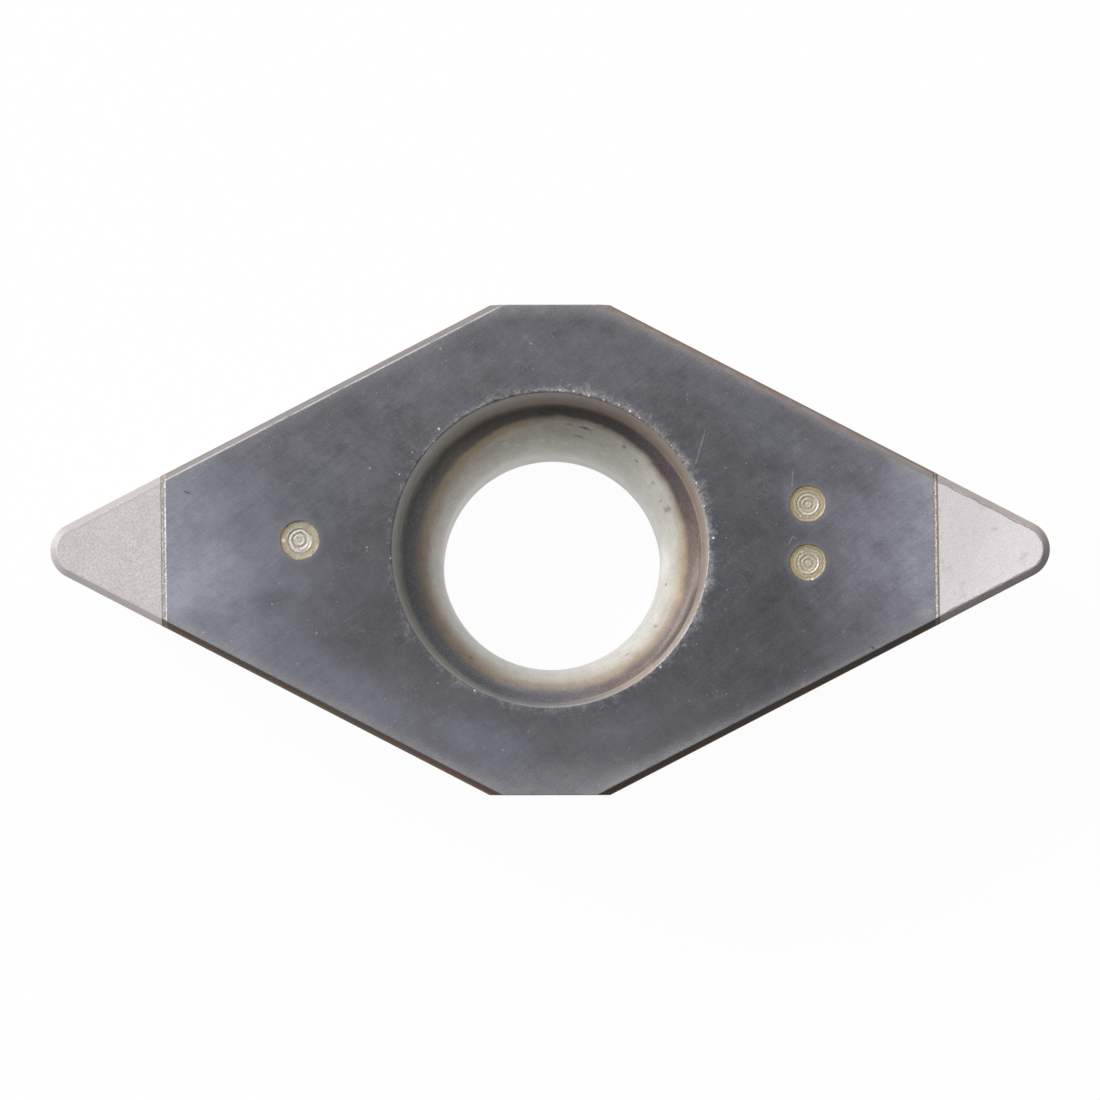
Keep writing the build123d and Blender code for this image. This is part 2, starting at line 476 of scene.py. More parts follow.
# Frosted wear just outside the hole's mouth, heaviest at the back and right, with a thin film, a
# pale crest and small chips right at the edge
around = coat.node("Math", {"operation": "ARCTAN2"}, {0: coat.y, 1: coat.x})
side_on = coat.node("Math", {"operation": "COSINE"}, {0: around - 0.75})
heavy = 0.40 + coat.rise(side_on, -0.35, 0.75, 0.60)
frosty = coat.noise(14.0, 6.0, 0.8)
spread = from_axis + (coat.noise(2.6, 4.0, 0.65) - 0.5) * 0.30
ringed = coat.rise(spread, 2.27, 2.03) * coat.rise(from_axis, 2.036, 2.046)
frost = coat.rise(frosty + ringed * heavy * 0.25 - 0.06, 0.48, 0.80) * ringed
grained = coat.rise(grain, 0.36, 0.64)
face = coat.mix(frost * (0.26 + grained * 0.62), face, (0.40, 0.40, 0.43))
film = coat.rise(from_axis + (frosty - 0.5) * 0.16, 2.130, 2.050) * coat.rise(from_axis, 2.036, 2.046)
film = film * coat.rise(frosty, 0.40, 0.64) * (0.20 + grained * 0.8)
face = coat.mix(film * heavy * 0.55, face, (0.42, 0.42, 0.45))
crest = coat.rise(from_axis + (frosty - 0.5) * 0.12, 2.105, 2.060) * coat.rise(from_axis, 2.040, 2.050)
crest = crest * coat.rise(frosty, 0.40, 0.60) * coat.rise(coat.y - coat.x * 0.35, 1.1, 1.8)
face = coat.mix(crest * 0.45, face, (0.46, 0.46, 0.49))
chipped = coat.rise(coat.noise(7.0, 3.0, 0.6), 0.52, 0.60) * coat.rise(from_axis, 2.085, 2.050)
face = coat.mix(chipped * heavy * 0.55, face, (0.05, 0.05, 0.055))
flakes = coat.specks(15.0, 0.017, 0.50) * coat.rise(from_axis, 2.09, 2.045) * (0.3 + heavy * 0.7)
# Hairline scratches in a few directions, specks of dust, and pits drawn out along the grinding
scratch = 0.0
for angle, length, width, threshold in [(36, 2.6, 0.020, 0.71), (62, 1.6, 0.016, 0.72),
                                        (-20, 1.4, 0.016, 0.74), (8, 2.2, 0.018, 0.74)]:
    scratch = scratch + coat.rise(coat.noise(1.0, 2.0, 0.5, coat.turned(angle, (length, width, 1))),
                                  threshold, threshold + 0.06)
scratch = scratch * coat.rise(coat.noise(1.1), 0.42, 0.62)
dust = coat.specks(3.3, 0.021, 0.42) * 0.85 + coat.specks(8.0, 0.013, 0.36) * 0.7 + flakes
pits = coat.specks(2.1, 0.020, 0.10, coat.turned(-30, (2.2, 1.0, 1)))


def stroke(x0, y0, x1, y1, width, share):
    """A short scratch: a share within the width of the straight line between two points, and 0 off it."""
    length = float(np.hypot(x1 - x0, y1 - y0))
    ahead_x, ahead_y = (x1 - x0) / length, (y1 - y0) / length
    middle_x, middle_y = (x0 + x1) / 2, (y0 + y1) / 2
    along = coat.plane(ahead_x, ahead_y, -(middle_x * ahead_x + middle_y * ahead_y))
    off = coat.plane(-ahead_y, ahead_x, middle_x * ahead_y - middle_y * ahead_x)
    inside = coat.rise(abs(along), length / 2 + width, length / 2 - width)
    return coat.rise(abs(off), width, width * 0.3, share) * inside


# Single scratches, each from one point to another, with a width and a share
scored = 0.0
for x0, y0, x1, y1, width, share in [
        (1.87, 1.10, 2.00, 1.55, 0.012, 0.40), (3.06, 0.055, 3.12, 0.167, 0.012, 0.45),
        (3.12, 0.167, 3.18, 0.13, 0.012, 0.45), (3.11, 0.82, 3.125, 1.02, 0.013, 0.35),
        (-2.33, 0.32, -2.03, 0.50, 0.007, 0.18), (-2.9, -1.1, -2.3, -0.69, 0.007, 0.10),
        (0.55, -2.5, 1.10, -2.25, 0.008, 0.10), (-1.2, 2.2, -0.75, 2.5, 0.008, 0.12)]:
    scored = scored + stroke(x0, y0, x1, y1, width, share)
face = coat.mix(scored, face, (0.40, 0.40, 0.44))
face = coat.mix(stroke(-4.70, 0.765, -4.63, 0.73, 0.014, 0.75), face, (0.04, 0.04, 0.05))
face = coat.mix(scratch * 0.30, face, (0.34, 0.34, 0.37))
face = coat.mix(pits * 0.7, face, (0.045, 0.045, 0.055))
# Fine glints round the hole, and crooked wisps as thin as hair
glint = coat.rise(coat.noise(24.0, 2.0, 0.6), 0.58, 0.76) * coat.rise(from_axis + clouds * 1.2, 3.9, 2.9)
face = coat.mix(glint * 0.15, face, (0.34, 0.34, 0.36))
wisp = coat.rise(abs(coat.noise(4.5, 3.0, 0.55) - 0.5), 0.020, 0.003)
wisp = wisp * coat.rise(coat.noise(2.3), 0.48, 0.60)
face = coat.mix(wisp * 0.13, face, (0.34, 0.34, 0.37))
face = coat.mix(dust * 0.55, face, (0.55, 0.56, 0.59))
face = coat.mix(1.0, face, coat.grey(1.0 + relief), "MULTIPLY")

# Edge land and flanks: darker and browner, as the coating thins out at the very edge, with painted
# shade on the front lands and on the rim at the front right, and a painted highlight along the line
# where the rear lands meet the top
line = coat.noise(2.2, 4.0, 0.65)
draw = coat.noise(1.0, 3.0, 0.6, coat.turned(0, (0.8, 0.8, 0.025)))
rearward = coat.rise(coat.y, -0.2, 0.2)
right_land = coat.mix(coat.rise(mottle, 0.42, 0.58), (0.278, 0.252, 0.246), (0.245, 0.196, 0.180))
right_land = coat.mix(coat.rise(coat.x, 3.4, 5.0, 0.6), right_land, (0.345, 0.318, 0.308))
# Painted shade: the front lands are painted darker than the rear ones
front_land_shaded = coat.mix(coat.rise(mottle, 0.46, 0.60), (0.118, 0.100, 0.090), (0.140, 0.092, 0.074))
left_land = coat.mix(coat.rise(coat.x, -4.2, -2.0), (0.200, 0.190, 0.190), (0.168, 0.158, 0.158))
land = coat.mix(rearward, front_land_shaded, coat.mix(coat.rise(coat.x, -0.3, 0.3), left_land, right_land))
# A brown line at the very edge, with painted shade making it darker at the front right, where the edge's
# round catches the light
rim = coat.rise(from_edge, 0.045, 0.012) * (1 - rearward * coat.rise(coat.x, 0.3, -0.3))
rim_tone = coat.mix(coat.rise(coat.x, -0.3, 0.3) * (1 - rearward),
                    (0.215, 0.142, 0.105), (0.100, 0.062, 0.045))
land = coat.mix(rim * 0.7, land, rim_tone)
land = coat.mix(coat.rise(coat.z, thickness - 0.026, thickness - 0.050, 0.8), land, (0.215, 0.155, 0.118))
side = coat.mix(coat.rise(coat.z, thickness - 0.052, thickness - 0.075), land, (0.135, 0.125, 0.122))
side = coat.mix(1.0, side, coat.grey(0.78 + draw * 0.44), "MULTIPLY")
# Painted highlight along the line where the rear lands meet the top, strongest at the back left
painted_highlight_line = coat.rise(abs(from_edge - land_run - 0.002 + (mottle - 0.5) * 0.01), 0.013, 0.006)
painted_highlight_line = painted_highlight_line * rearward * coat.rise(coat.z, thickness - 0.02, thickness - 0.01)
painted_highlight_line = painted_highlight_line * (0.06 + coat.rise(coat.x, 0.3, -0.3, 0.54)) * coat.rise(line, 0.32, 0.50)
fringe = coat.rise(abs(from_edge - land_run + (smudge - 0.5) * 0.03), 0.026, 0.004) * rearward
fringe = fringe * coat.rise(coat.x, -0.3, 0.3) * coat.rise(coat.z, thickness - 0.04, thickness - 0.02)
seat = coat.mix(1.0, (0.15, 0.147, 0.155), coat.grey(0.8 + mottle * 0.2 + grain * 0.2), "MULTIPLY")
side = coat.mix(coat.rise(coat.z, 0.012, 0.002), side, seat)

# Down the hole the coating runs out: olive on the mouth's wall, a dark ring below the shoulder, and
# past a brown and straw band the bare carbide of the bore. The ring ends higher and more sharply at
# the back right, and deeper and softly at the front left, where it is greyer.
sunk = thickness - coat.z
east, north = coat.x / from_axis, coat.y / from_axis
ring_end = 0.6185 - north * 0.0226 - east * 0.025 + (east * east - north * north) * 0.015
ring_end = ring_end - coat.rise(east - north, 1.0, 1.4, 0.03) - coat.rise(north, 0.8, 1.0, 0.015)
ring_end = ring_end + coat.rise(north - east, 1.0, 1.4, 0.03)
ring_end = ring_end - coat.rise(east + north, -0.9, -1.4, 0.045)
ring_end = ring_end + (line - 0.5) * 0.05 + (grain - 0.5) * 0.08
fade = 0.130 - north * 0.082 - east * 0.025 - coat.rise(north - east, 1.0, 1.4, 0.02)
past = (sunk - ring_end + (mottle - 0.5) * 0.06) / fade
ring = coat.mix(coat.rise(east + north * 0.5, -0.1, -1.0), (0.146, 0.132, 0.126), (0.205, 0.217, 0.240))
ring = coat.mix(coat.rise(north, -0.72, -1.0), ring,
                coat.mix(coat.rise(sunk, 0.50, 0.62), (0.124, 0.124, 0.142), (0.205, 0.202, 0.222)))
ring = coat.mix(coat.rise(east - north * 0.3, 0.1, 1.0, 0.9), ring, (0.160, 0.118, 0.107))
ring = coat.mix(coat.rise(east + north, 1.15, 1.42, 0.9), ring, (0.115, 0.095, 0.103))
ring = coat.mix(1.0, ring, coat.grey(0.45 + grain * 1.1), "MULTIPLY")
deep = coat.mix(coat.rise(north - east * 0.35, 0.2, 0.95), (0.61, 0.60, 0.565), (0.535, 0.497, 0.42))
bare = coat.mix(coat.rise(sunk, 0.75, 1.7), (0.54, 0.515, 0.465), deep)
bare = coat.mix(coat.rise(east - north, 0.85, 1.25) * coat.rise(sunk, 0.92, 0.72, 0.55),
                bare, (0.46, 0.45, 0.425))
pale_back = coat.rise(sunk, 1.1, 0.7) * coat.rise(north + east * 0.3, 0.4, 1.0)
bare = coat.mix(pale_back, bare, (0.66, 0.645, 0.585))
straw = coat.mix(coat.rise(north + east * 0.5, 0.5, 1.1), (0.42, 0.345, 0.25), (0.45, 0.41, 0.36))
straw = coat.mix(coat.rise(east, -0.4, -0.9), straw, (0.37, 0.298, 0.230))
straw = coat.mix(coat.rise(east * 0.4 - north, 0.45, 0.90, 0.80), straw, (0.475, 0.445, 0.40))
straw = coat.mix(coat.rise(north - east, 0.95, 1.30, 0.80), straw, (0.515, 0.415, 0.285))
straw_width = 1 - coat.rise(north - east, 0.95, 1.30, 0.35)
past_ring = coat.mix(coat.rise(past * straw_width, 0.5, 2.1), straw, bare)
wall_tone = coat.mix(coat.rise(past, -0.35, 0.9), ring, past_ring)
# Rust on the lower side, where the ring runs out
rust = coat.rise(abs(past - 0.40), 0.50, 0.05) * coat.rise(east * 0.4 - north, -0.1, 0.5)
wall_tone = coat.mix(rust * 0.38, wall_tone, (0.42, 0.285, 0.170))
mouth = coat.mix(coat.rise(sunk, 0.42, 0.05), (0.262, 0.202, 0.164), (0.288, 0.250, 0.214))
mouth = coat.mix(coat.rise(east + north * 0.2, 0.2, -0.9), mouth, (0.325, 0.312, 0.292))
mouth = coat.mix(coat.rise(north, -0.78, -0.97), mouth, (0.205, 0.192, 0.190))
mouth = coat.mix(coat.rise(east - north, 1.18, 1.40, 0.6), mouth, (0.40, 0.335, 0.29))
mouth = coat.mix(coat.rise(east + north, 1.1, 1.4, 0.8), mouth, (0.25, 0.18, 0.138))
mouth = coat.mix(coat.rise(north, 0.6, 1.0) * coat.rise(sunk, 0.18, 0.40, 0.55),
                 mouth, (0.385, 0.305, 0.260))
# The step between mouth and seat: a painted highlight along it on the right, and at the lower right, where
# the ring's colour reaches higher, painted shade and a rougher finish dull it
low_right = coat.rise(east * 0.866 - north * 0.5, 0.92, 0.99)
step = low_right * 0.05 + sunk - 0.0215 + east * 0.0185 - north * 0.012 + (grain - 0.5) * 0.02
wall_tone = coat.mix(coat.rise(step, 0.46, 0.42), wall_tone, mouth)
shoulder = coat.rise(abs(sunk - 0.437 + coat.rise(east, 0.75, 1.0, 0.035)), 0.030, 0.006)
shoulder = shoulder * coat.rise(east * 0.92 - north * 0.35, 0.25, 0.85)
shoulder = shoulder * (1 - low_right * 0.9)
# Painted shade over the shoulder's highlight at the lower right, where the finish is also made rougher
glare_shade = low_right * coat.rise(abs(sunk - 0.45), 0.075, 0.015)
wall_tone = coat.mix(glare_shade * 0.75, wall_tone, (0.070, 0.056, 0.050))
wall_tone = coat.mix(shoulder * 0.46, wall_tone, (0.58, 0.45, 0.35))
stain = coat.noise(1.0, 3.0, 0.6, coat.turned(0, (0.35, 0.35, 1.2)))
streaks = coat.noise(1.0, 4.0, 0.7, coat.turned(0, (0.30, 0.30, 0.05)))
# Painted highlight along the mouth's rim at the right and lower right
wall_tone = coat.mix(coat.rise(sunk, 0.03, 0.0) * coat.rise(east - north * 0.8, 0.3, 1.0, 0.6),
                     wall_tone, (0.50, 0.48, 0.48))
wall_wear = coat.weighed(0.0, (mottle, 0.34), (smudge, 0.26), (grain, 0.82), (stain, 0.32),
                         (streaks, 0.26))
wall_tone = coat.mix(1.0, wall_tone, coat.grey(wall_wear), "MULTIPLY")
# Smears of soot on the bore's wall, paler dashes that are painted glints, and a soft painted highlight
# at the right, each at an angle in degrees and a depth
arc = around * from_axis
broken = (grain + streaks - 1) * 1.6
soot, painted_glint, soft_painted_highlight = (0.10, 0.09, 0.085), (0.74, 0.73, 0.64), (0.90, 0.84, 0.78)
for angle, depth, wide, tall, share, tone in [
        (75, 0.68, 0.085, 0.020, 0.85, soot), (77, 0.83, 0.070, 0.022, 0.60, soot),
        (82, 0.67, 0.060, 0.018, 0.40, soot), (56, 0.69, 0.030, 0.028, 0.50, soot),
        (48, 0.75, 0.035, 0.020, 0.50, soot), (36, 0.80, 0.020, 0.040, 0.35, soot),
        (22, 0.80, 0.035, 0.075, 0.55, soot), (27, 0.86, 0.020, 0.050, 0.45, soot),
        (-13, 0.98, 0.018, 0.030, 0.70, soot), (-34, 0.80, 0.020, 0.035, 0.50, soot),
        (-52, 0.82, 0.050, 0.018, 0.50, soot), (-128, 0.72, 0.040, 0.025, 0.45, soot),
        (112, 0.85, 0.055, 0.024, 0.85, painted_glint), (106, 0.97, 0.040, 0.018, 0.75, painted_glint),
        (99, 0.96, 0.045, 0.020, 0.75, painted_glint), (94, 0.98, 0.030, 0.024, 0.80, painted_glint),
        (83, 1.02, 0.060, 0.018, 0.65, painted_glint), (64, 1.00, 0.050, 0.020, 0.55, painted_glint),
        (138, 0.95, 0.040, 0.024, 0.55, painted_glint), (-2, 1.18, 0.24, 0.20, 0.55, soft_painted_highlight)]:
    turned_by = coat.fused(from_axis, -float(np.radians(angle)) / wide, arc * (1 / wide))
    lowered_by = coat.fused(sunk, 1 / tall, -depth / tall)
    off = coat.length(turned_by, lowered_by) + broken
    wall_tone = coat.mix(coat.rise(off, 1.5, 0.2, share), wall_tone, tone)

top = coat.mix(on_top, side, face)
top = coat.mix(painted_highlight_line, top, (0.60, 0.58, 0.58))
top = coat.mix(fringe * 0.6, top, (0.285, 0.215, 0.190))
nicks = coat.specks(5.0, 0.024, 0.35) * coat.rise(abs(from_edge - land_run), 0.030, 0.015)
nicks = nicks * coat.rise(coat.z, thickness - 0.05, thickness - 0.03)
top = coat.mix(nicks * 0.75, top, (0.38, 0.37, 0.38))

# The corner marks were burnt in and show a yellower, thinner coating with pale and brown rings
single_rings = [
    (0.0, (0.50, 0.48, 0.42)), (0.10, (0.36, 0.34, 0.28)), (0.18, (0.52, 0.50, 0.44)),
    (0.27, (0.50, 0.47, 0.40)), (0.345, (0.29, 0.26, 0.21)), (0.41, (0.36, 0.34, 0.28)),
    (0.46, (0.66, 0.65, 0.62)), (0.53, (0.58, 0.56, 0.52)), (0.60, (0.27, 0.22, 0.16)),
    (0.66, (0.42, 0.39, 0.30)), (0.90, (0.42, 0.39, 0.29)), (0.955, (0.34, 0.28, 0.17)),
    (1.0, (0.12, 0.105, 0.085))]
pair_rings = [
    (0.0, (0.42, 0.41, 0.38)), (0.13, (0.40, 0.38, 0.34)), (0.22, (0.29, 0.25, 0.19)),
    (0.34, (0.46, 0.43, 0.36)), (0.42, (0.30, 0.25, 0.18)), (0.50, (0.46, 0.42, 0.34)),
    (0.58, (0.52, 0.49, 0.40)), (0.66, (0.30, 0.24, 0.15)), (0.74, (0.50, 0.45, 0.33)),
    (0.82, (0.29, 0.23, 0.13)), (0.91, (0.46, 0.40, 0.27)), (0.97, (0.32, 0.25, 0.15)),
    (1.0, (0.17, 0.14, 0.11))]
burr = coat.noise(9.0, 3.0, 0.6)
burr_high = coat.rise(burr, 0.52, 0.68, 0.7)
wobble = (burr - 0.5) * 0.36 + (grain - 0.5) * 0.10
rough_tone = 0.22 + grain * 1.10 + fine * 0.50
upper = coat.rise(coat.z, 1.0, 1.2)
for (radius, x, y), rings in zip(marks, [single_rings, pair_rings, pair_rings]):
    away_x, away_y = coat.x - x, coat.y - y
    away = coat.length(away_x, away_y) / radius
    burnt = coat.ramp(away + wobble, rings)
    burnt = coat.mix(burr_high * coat.rise(away, 0.55, 0.8), burnt, (0.40, 0.27, 0.13))
    burnt = coat.mix(coat.rise(away_x, -0.35 * radius, -radius, 0.45), burnt, (0.56, 0.42, 0.28))
    burnt = coat.mix(1.0, burnt, coat.grey(rough_tone * (1.40 - away * 0.38)), "MULTIPLY")
    halo = coat.rise(away + (burr - 0.5) * 0.6, 1.35, 0.98, 0.30) * on_top
    top = coat.mix(halo, top, (0.30, 0.29, 0.29))
    burnt_here = coat.rise(away + (burr - 0.5) * 0.10, 1.03, 0.96) * upper
    top = coat.mix(burnt_here, top, burnt)
# Single pale crumbs, each with its place and size
nearest = 9.0
for x, y, size in [
        (-3.43, 0.128, 0.032), (3.24, -0.04, 0.018), (3.37, -0.385, 0.02), (3.22, 0.43, 0.014),
        (0.5, 1.99, 0.02), (1.03, 1.79, 0.022), (1.88, 0.86, 0.016), (-1.43, 1.565, 0.02),
        (2.1, 0.148, 0.02), (-0.97, -1.82, 0.016), (1.42, -1.52, 0.016), (0.127, 2.062, 0.014),
        (0.307, 2.05, 0.013), (0.69, 1.938, 0.012), (0.886, 1.869, 0.013), (1.15, 1.705, 0.012),
        (-1.633, 1.246, 0.014), (-1.936, 0.977, 0.012), (-1.773, 1.262, 0.01),
        (-1.495, 1.405, 0.012), (-2.05, -0.109, 0.014), (1.56, 1.345, 0.012), (1.985, 0.56, 0.012)]:
    bead_x, bead_y = coat.fused(coat.x, 1 / size, -x / size), coat.fused(coat.y, 1 / size, -y / size)
    squares = coat.fused(bead_x, bead_x, bead_y * bead_y)
    nearest = coat.node("Math", {"operation": "MINIMUM"}, {0: nearest, 1: squares})
crumbs = coat.rise(nearest ** 0.5, 1.0, 0.4)
top = coat.mix(crumbs * upper, top, (0.85, 0.84, 0.80))

coat.set({
    "Base Color": coat.mix(in_hole, top, wall_tone),
    "Metallic": 0.25,
    "Roughness": 0.40 + frost * 0.2 + (grain - 0.5) * 0.15 - in_hole * (0.08 - glare_shade * 0.42),
    "Normal": coat.bump(coat.weighed(0.0, (grain, 0.6), (fine, 0.2), (mottle, 0.15), (lay, 0.3)), 0.0030),
})
body.data.materials.append(coat.material)
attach(body, "root")
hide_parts("insert_body")

# Tips: two small wedges of pale, very hard sintered boron nitride, one in each pocket, ground flush
# with the body after brazing, so that the land runs on round the nose. Fine grained and satin.
tip_outer = soften([(land_run + 0.03, thickness), (land_run, thickness),
                    (land_drop * flank_lean, thickness - land_drop),
                    ((thickness - tip_floor) * flank_lean, tip_floor)], [0.03, 0.013])
tip_outer = fill_in(tip_outer, 0.3)


def tip_courses(edge):
    """Closed courses round a tip: up its back face, then round the nose from rear to front."""
    back = np.full_like(edge, tip_back)
    start = meet(front_right, edge, joint_normal, back)
    end = meet(rear_right, edge, joint_normal, back)
    rear_to_front = nose_path(edge, back, 90, 72)[:, ::-1]
    return np.concatenate([stretch(start, end, np.arange(120) / 120), end[:, None],
                           rear_to_front], axis=1)


def tip(name, node, side):
    """One tip, from its courses between a pole in the middle of its face and one under it."""
    inset, height = tip_outer.T
    plan = tip_courses(circle_radius - inset)[:, ::-1]
    rim = np.dstack([plan, np.broadcast_to(height[:, None], plan.shape[:2])])
    middle = np.array([5.55, 0.0])
    share = np.array([1.0, 0.7, 0.4, 0.12])[:, None, None]
    face = np.dstack([plan[0] * (1 - share) + middle * share, np.full((4, plan.shape[1]), thickness)])
    base = np.dstack([plan[-1] * (1 - share[::-1]) + middle * share[::-1],
                      np.full((4, plan.shape[1]), tip_floor)])
    made = skin(name, np.concatenate([face, rim, base]) * [side, side, 1], loop=False)
    smooth(made)
    made.data.materials.append(nitride.material)
    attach(made, "root")
    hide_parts(node)


nitride = Finish("boron_nitride")
nitride_edge = circle_radius - (abs(nitride.x) * float(rear_right[0])
                                + abs(nitride.y) * float(rear_right[1]))
round_nose = nitride.length(abs(nitride.x) - nose_centre, nitride.y)
nitride_edge = nitride.mix_value(nitride.rise(abs(nitride.x), nose_centre + 0.10, nose_centre + 0.14),
                                 nitride_edge, nose_radius - round_nose)
grit = nitride.noise(48.0, 4.0, 0.75)
blotch = nitride.noise(5.0, 6.0, 0.7)
pink = nitride.noise(2.2, 3.0, 0.6)
on_right = nitride.rise(nitride.x, -1, 1)
pale = nitride.mix(nitride.rise(pink, 0.35, 0.65), (0.592, 0.560, 0.557), (0.606, 0.556, 0.558))
# Painted light: the right tip is painted paler than the left, palest towards its nose at the front
right_tip_painted_light = nitride.mix(nitride.rise(nitride.x - nitride.y * 0.5 + (pink - 0.5) * 0.8, 5.1, 6.1),
                         (0.685, 0.643, 0.652), (0.800, 0.752, 0.775))
pale = nitride.mix(on_right, pale, right_tip_painted_light)
pale = nitride.mix(nitride.rise(blotch, 0.54, 0.68) * on_right * 0.42, pale, (0.46, 0.37, 0.38))
gritty = 0.115 + on_right * 0.375 + grit * (1.55 - on_right * 0.75) + blotch * 0.22
pale = nitride.mix(1.0, pale, nitride.grey(gritty), "MULTIPLY")
ground = nitride.rise(nitride.z, thickness - 0.001, thickness - 0.004)
# Painted shade on the lands: the right tip's are a dark brown, and the left tip's are darker at the front
# than at the back
pale = nitride.mix(ground * on_right * 0.75, pale, (0.328, 0.262, 0.238))
left_land = nitride.mix(nitride.rise(nitride.y, -0.5, 0.1), (0.475, 0.435, 0.435), (0.355, 0.325, 0.317))
pale = nitride.mix(ground * (1 - on_right) * 0.95, pale, left_land)
# A darker line inside the left tip's rear land, and a dark wavering line along the inner edge of the
# right tip's land
inner = nitride.rise(nitride_edge, 0.155, 0.100) * (1 - ground) * (1 - on_right)
pale = nitride.mix(inner * nitride.rise(nitride.y, -0.1, 0.3, 0.40), pale, (0.44, 0.40, 0.395))
dark_edge_line = (nitride.rise(abs(nitride_edge - 0.094 + (blotch - 0.5) * 0.070), 0.016, 0.005)
        * nitride.rise(nitride.z, thickness - 0.02, thickness - 0.01))
pale = nitride.mix(dark_edge_line * on_right * 0.75, pale, (0.22, 0.205, 0.21))
nitride.set({
    "Base Color": pale,
    "Roughness": 0.50 - ground * 0.12 + grit * 0.1,
    "Normal": nitride.bump(grit * 0.7 + blotch * 0.3, 0.0045),
})
tip("nitride_tip_left", "tip_left", -1)
tip("nitride_tip_right", "tip_right", 1)

# Braze: silver-copper filler melted into the joint, behind each tip and under it. Ground level with
# the top it shows as a rough bright line beside the body, drawn down in a brown hairline at the tip.
hairline, hairline_depth = 0.022, 0.004


def land_height(plan, level):
    """Height of the ground top over a point: the level, less the land's slope past its inner line."""
    distance = np.abs(plan[..., 0]) * rear_right[0] + np.abs(plan[..., 1]) * rear_right[1]
    past = np.clip(land_run - (circle_radius - distance), 0, None)
    return level - past * land_drop / (land_run - land_drop * flank_lean)


def braze(name, node, side, seed):
    """The filler as courses from the middle of its bed, up the tip's back face, over the top strip,
    down the pocket's wall and under the bed. Round the nose the strip's courses fall together."""
    edge_at = lambda height: circle_radius - (thickness - height) * flank_lean
    bed, under = np.array([edge_at(tip_floor)]), np.array([edge_at(pocket_floor)])
    high = np.array([edge_at(thickness - land_drop)])
    ends = 0.0466
    along = np.concatenate([[0, ends / 2], np.linspace(ends, 1 - ends, 260), [1 - ends / 2, 1]])

    def back(edge, wall):
        wall = np.array([wall])
        start = meet(front_right, edge, joint_normal, wall)
        end = meet(rear_right, edge, joint_normal, wall)
        return stretch(start, end, along)[0]

    def front(edge):
        return nose_path(edge, np.array([tip_back]), 20, 40)[0, ::-1]

    dice = np.random.default_rng(seed)
    blur = np.exp(-np.linspace(-2, 2, 5) ** 2)

    def ragged(size):
        return np.convolve(dice.uniform(-1, 1, len(along)), blur / blur.sum(), "same") * size

    courses = []
    nose_bed = np.column_stack([front(bed), np.full(len(front(bed)), tip_floor)])
    nose_under = np.column_stack([front(under), np.full(len(front(under)), pocket_floor)])

    def course(plan, height, nose):
        courses.append(np.concatenate([np.column_stack([plan, height]), nose]))

    foot = back(bed, tip_back)
    course(foot, np.full(len(foot), tip_floor), nose_bed)
    for wall in (tip_back, tip_back - hairline):
        plan = back(high, wall)
        course(plan, land_height(plan, thickness - hairline_depth), nose_bed)
    for share, proud in [(0, 0.2), (0.15, 0.4), (0.4, 1), (0.7, 1), (0.9, 0.5), (1, 0)]:
        wall = tip_back - hairline - (joint_gap - hairline) * share
        plan = back(high, wall)
        if 0 < share < 1:
            height = land_height(plan, thickness) - 0.0035 * proud + ragged(0.0032 * proud)
        else:
            plan = plan + (ragged(0.0025) if share == 0 else 0 * along)[:, None] * joint_normal
            height = land_height(plan, thickness - 0.002) if share == 0 else land_height(plan, thickness)
        course(plan, height, nose_bed)
    plan = back(under, tip_back - joint_gap)
    course(plan, np.full(len(plan), pocket_floor), nose_under)
    rows = np.array(courses)[:, ::-1]
    middle = np.array([5.5, 0.0, 0.0])
    first = rows[:1] * 0 + middle + [0, 0, tip_floor]
    last = rows[:1] * 0 + middle + [0, 0, pocket_floor]
    made = skin(name, np.concatenate([first, rows, last]) * [side, side, 1], loop=False)
    smooth(made)
    made.data.materials.append(filler.material)
    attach(made, "root")
    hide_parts(node)


filler = Finish("braze_filler")
beads = filler.noise(38.0, 4.0, 0.7)
spark = filler.specks(22.0, 0.018, 0.5)
bright = filler.mix(filler.rise(beads, 0.40, 0.62), (0.42, 0.375, 0.365), (0.70, 0.665, 0.655))
bright = filler.mix(spark * 0.8, bright, (0.85, 0.83, 0.82))
to_tip = tip_back - abs(filler.x * float(joint_normal[0]) + filler.y * float(joint_normal[1]))
shown = filler.rise(filler.x, -1, 1, 0.013) + 0.010
strip = filler.rise(to_tip + (beads - 0.5) * 0.012 - shown, 0.004, -0.004)
seam = filler.mix(filler.rise(filler.x, -1, 1), (0.430, 0.390, 0.375), (0.380, 0.270, 0.230))
bright = filler.mix(strip, bright, seam)
filler_edge = (circle_radius - (thickness - filler.z) * float(flank_lean)
               - abs(filler.x) * float(rear_right[0]) - abs(filler.y) * float(rear_right[1]))
bright = filler.mix(filler.rise(filler_edge, 0.094, 0.084, 0.85), bright, (0.21, 0.17, 0.155))
# Below the land the joint is dull and dark, as it was not ground bright
low = filler.rise(filler.z, thickness - land_drop - 0.01, thickness - land_drop - 0.05)
bright = filler.mix(low * 0.85, bright, (0.21, 0.17, 0.155))
filler.set({
    "Base Color": bright,
    "Metallic": 0.5,
    "Roughness": 0.42 + beads * 0.2,
    "Normal": filler.bump(beads, 0.004),
})
braze("braze_joint_left", "braze_left", -1, 5)
braze("braze_joint_right", "braze_right", 1, 6)

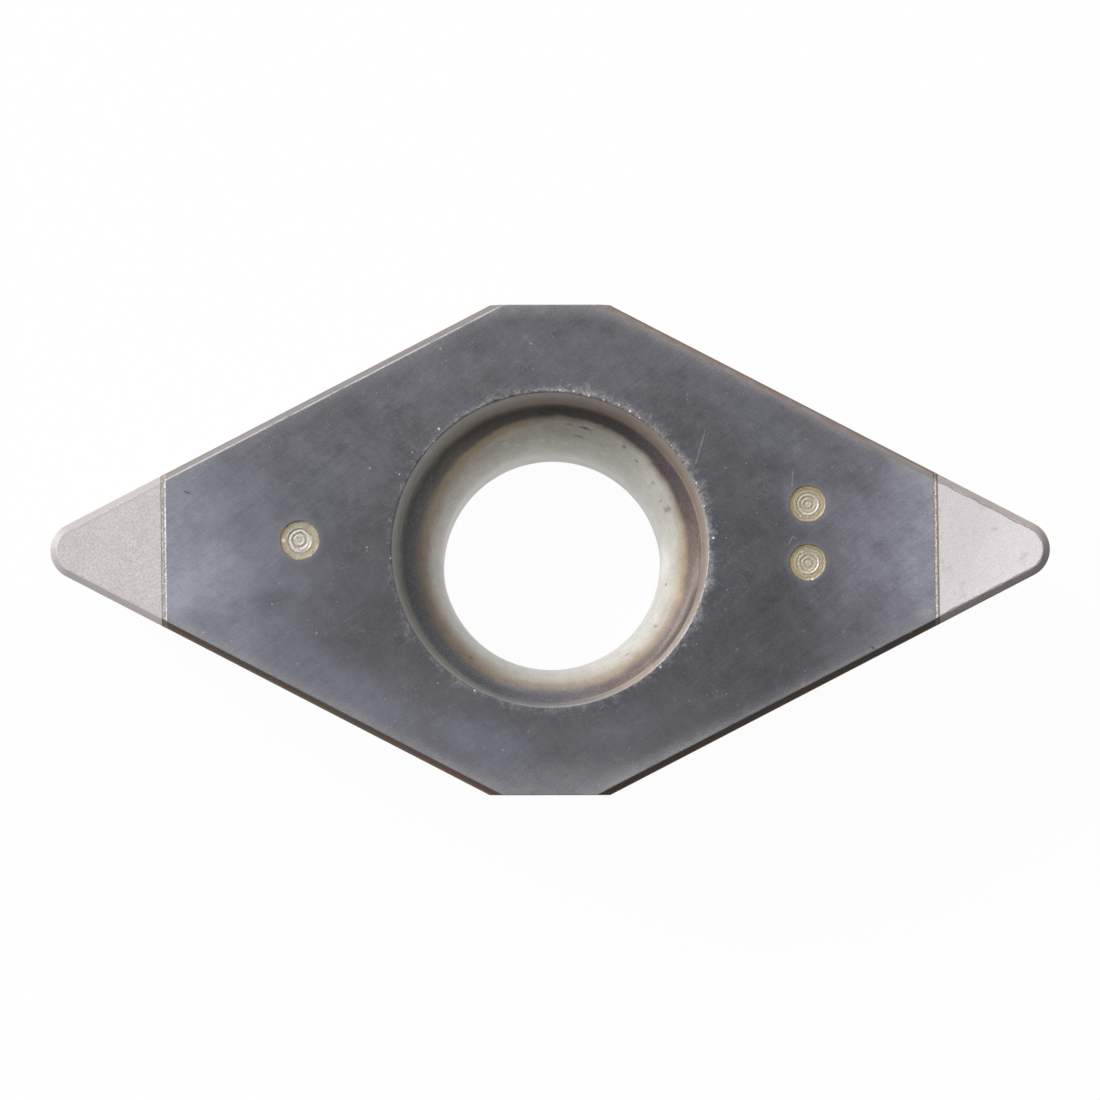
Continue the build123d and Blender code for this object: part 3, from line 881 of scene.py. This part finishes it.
# Floor: a plain white table, near white to the camera and to reflections, which keeps a faint shadow
floor_mesh = bpy.data.meshes.new("floor")
floor_mesh.from_pydata([(-1, -1, -1e-5), (1, -1, -1e-5), (1, 1, -1e-5), (-1, 1, -1e-5)], [], [(0, 1, 2, 3)])
floor = bpy.data.objects.new("floor", floor_mesh)
bpy.context.scene.collection.objects.link(floor)
table = Finish("white_table")
table.set({"Base Color": (0.90, 0.90, 0.90, 1), "Roughness": 0.9})
rays = [table.node("LightPath", {}, {}, out) for out in ("Is Camera Ray", "Is Glossy Ray")]
glow = table.node("Emission", {}, {"Color": (1, 1, 1, 1), "Strength": 1.0})
plain = Tone(table, table.shader.outputs[0])
both = table.node("MixShader", {}, {0: (rays[0] + rays[1]) * 0.97, 1: plain, 2: glow})
table.tree.links.new(both.socket, table.tree.nodes["Material Output"].inputs[0])
floor.data.materials.append(table.material)

# Light: a wide soft box low on the left, a paler one behind, a small one high at the back left that
# draws the bright line along the land, and an even room
world = bpy.data.worlds.new("room")
world.use_nodes = True
bpy.context.scene.world = world
room = world.node_tree
sky = room.nodes["Background"]
sky.inputs["Color"].default_value = (1, 1, 1, 1)
path = room.nodes.new("ShaderNodeLightPath")
level = room.nodes.new("ShaderNodeMapRange")
level.inputs[3].default_value, level.inputs[4].default_value = 0.16, 1.0
room.links.new(path.outputs["Is Camera Ray"], level.inputs[0])
room.links.new(level.outputs[0], sky.inputs["Strength"])


def soft_box(name, azimuth, elevation, distance, size, strength):
    """A square lamp that faces the insert from a compass direction and height, with a strength that
    is its brightness as seen from the insert."""
    lamp = bpy.data.lights.new(name, "AREA")
    lamp.shape, lamp.size = "SQUARE", size
    lamp.energy = strength * np.pi * size ** 2
    held = bpy.data.objects.new(name, lamp)
    a, e = np.radians(azimuth), np.radians(elevation)
    away = np.array([np.cos(a) * np.cos(e), np.sin(a) * np.cos(e), np.sin(e)])
    held.location = away * distance
    held.rotation_euler = mathutils.Vector(away).to_track_quat("Z", "Y").to_euler()
    bpy.context.scene.collection.objects.link(held)


soft_box("left_box", 150, 28, 0.40, 0.24, 13.5)
soft_box("back_box", 96, 30, 0.45, 0.36, 1.7)
soft_box("line_box", 125, 60, 0.40, 0.08, 3.0)

# Camera: a long lens looking down, leaned a little to the front and right as in the photograph
lean_front, lean_right, roll, reach = np.radians(6.4), np.radians(0.74), np.radians(0.01), 0.30
ahead = -mathutils.Vector((np.sin(lean_right), -np.sin(lean_front),
                           np.sqrt(1 - np.sin(lean_right) ** 2 - np.sin(lean_front) ** 2)))
right = ahead.cross(mathutils.Vector((np.sin(roll), np.cos(roll), 0))).normalized()
upward = right.cross(ahead)
aim = mathutils.Vector((0, -0.000006, thickness / 1000))
camera_data = bpy.data.cameras.new("camera")
camera_data.sensor_width = 36
camera_data.lens = 36 * reach / (1100 / 77.79 / 1000)
camera_data.clip_start, camera_data.clip_end = 0.01, 10
camera = bpy.data.objects.new("camera", camera_data)
camera.matrix_world = mathutils.Matrix((
    (*(right[0], upward[0], -ahead[0]), aim[0] - ahead[0] * reach),
    (*(right[1], upward[1], -ahead[1]), aim[1] - ahead[1] * reach),
    (*(right[2], upward[2], -ahead[2]), aim[2] - ahead[2] * reach),
    (0, 0, 0, 1),
))
bpy.context.scene.collection.objects.link(camera)
bpy.context.scene.camera = camera
bpy.context.scene.view_settings.view_transform = "Standard"
